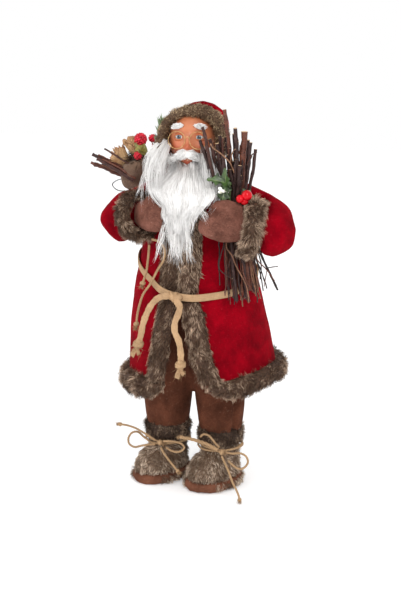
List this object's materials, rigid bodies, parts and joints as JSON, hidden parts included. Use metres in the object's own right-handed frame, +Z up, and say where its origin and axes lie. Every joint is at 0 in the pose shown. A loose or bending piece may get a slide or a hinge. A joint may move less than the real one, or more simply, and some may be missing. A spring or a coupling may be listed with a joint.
{
  "type": "standing santa figurine",
  "caption": "Standing fabric figure of a gift-bringer in a fur-trimmed red felt coat and hood, with a white beard, a sack on the back and a bundle of twigs on one arm.",
  "frame": {"origin": "middle of the bounding box at the underside of the soles, the free cords left out", "axes": "+Z up, -Y the way the figure faces, +X to the figure's own left"},
  "size_m": [0.2694, 0.2034, 0.4604],
  "materials": {
    "red_felt": "matt deep red felt with a short nap and stray fibres",
    "brown_fur": "long soft imitation fur, dark brown roots and beige tips",
    "jute": "pale tan jute, matt and fibrous",
    "dark_felt": "matt dark brown felt",
    "sole_felt": "matt red-brown felt",
    "mitten_felt": "matt brown felt",
    "eye": "glossy moulded plastic",
    "skin": "smooth satin painted face with warm cheeks",
    "white_hair": "long white artificial hair with a soft sheen",
    "gold_wire": "thin gold-coloured wire",
    "bark": "thin dark red-brown bark with pale cut ends",
    "hessian": "coarse brown-grey sacking",
    "shaved_wood": "pale dry wood shavings",
    "red_gloss": "glossy red",
    "leaf": "satin green leaf",
    "grey_wire": "thin grey florist wire",
    "white_pip": "matt white beads"
  },
  "bodies": {
    "root": {"coat": "red_felt", "front_trim_right": "brown_fur", "front_trim_left": "brown_fur", "hem_trim": "brown_fur", "belt": "jute", "trousers": "dark_felt", "sole_right": "sole_felt", "boot_right": "brown_fur", "boot_cuff_right": "brown_fur", "boot_tie_right": "jute", "sole_left": "sole_felt", "boot_left": "brown_fur", "boot_cuff_left": "brown_fur", "boot_tie_left": "jute", "eye_right": "eye", "eye_left": "eye", "head": "skin", "hood_trim": "brown_fur", "hood": "red_felt", "eyebrow_right": "white_hair", "eyebrow_left": "white_hair", "spectacles": "gold_wire", "beard": "white_hair", "moustache": "white_hair", "sleeve_right": "red_felt", "mitten_right": "mitten_felt", "cuff_right": "brown_fur", "sleeve_left": "red_felt", "mitten_left": "mitten_felt", "cuff_left": "brown_fur", "twig_bundle": "bark", "sack": "hessian", "sack_twig_1": "bark", "sack_twig_2": "bark", "sack_twig_3": "bark", "sack_twig_4": "bark", "sack_twig_5": "bark", "wood_rose_low": "shaved_wood", "wood_rose_high": "shaved_wood", "red_ball_high": "red_gloss", "red_ball_side": "red_gloss", "red_ball_low": "red_gloss", "sack_leaf": "leaf", "pine_sprig": "leaf", "sack_wire": "grey_wire", "holly_sprig": "leaf", "white_pips": "white_pip", "holly_berries": "red_gloss", "belt_tail_right": "jute", "belt_tail_centre": "jute", "sack_cord_long": "jute", "sack_cord_short": "jute", "boot_bow_right_outer": "jute", "boot_tail_right_outer": "jute", "boot_bow_right_inner": "jute", "boot_tail_right_inner": "jute", "boot_tail_left_inner": "jute", "boot_bow_left_inner": "jute", "boot_bow_left_outer": "jute", "boot_tail_left_outer": "jute"}
  },
  "joints": []
}
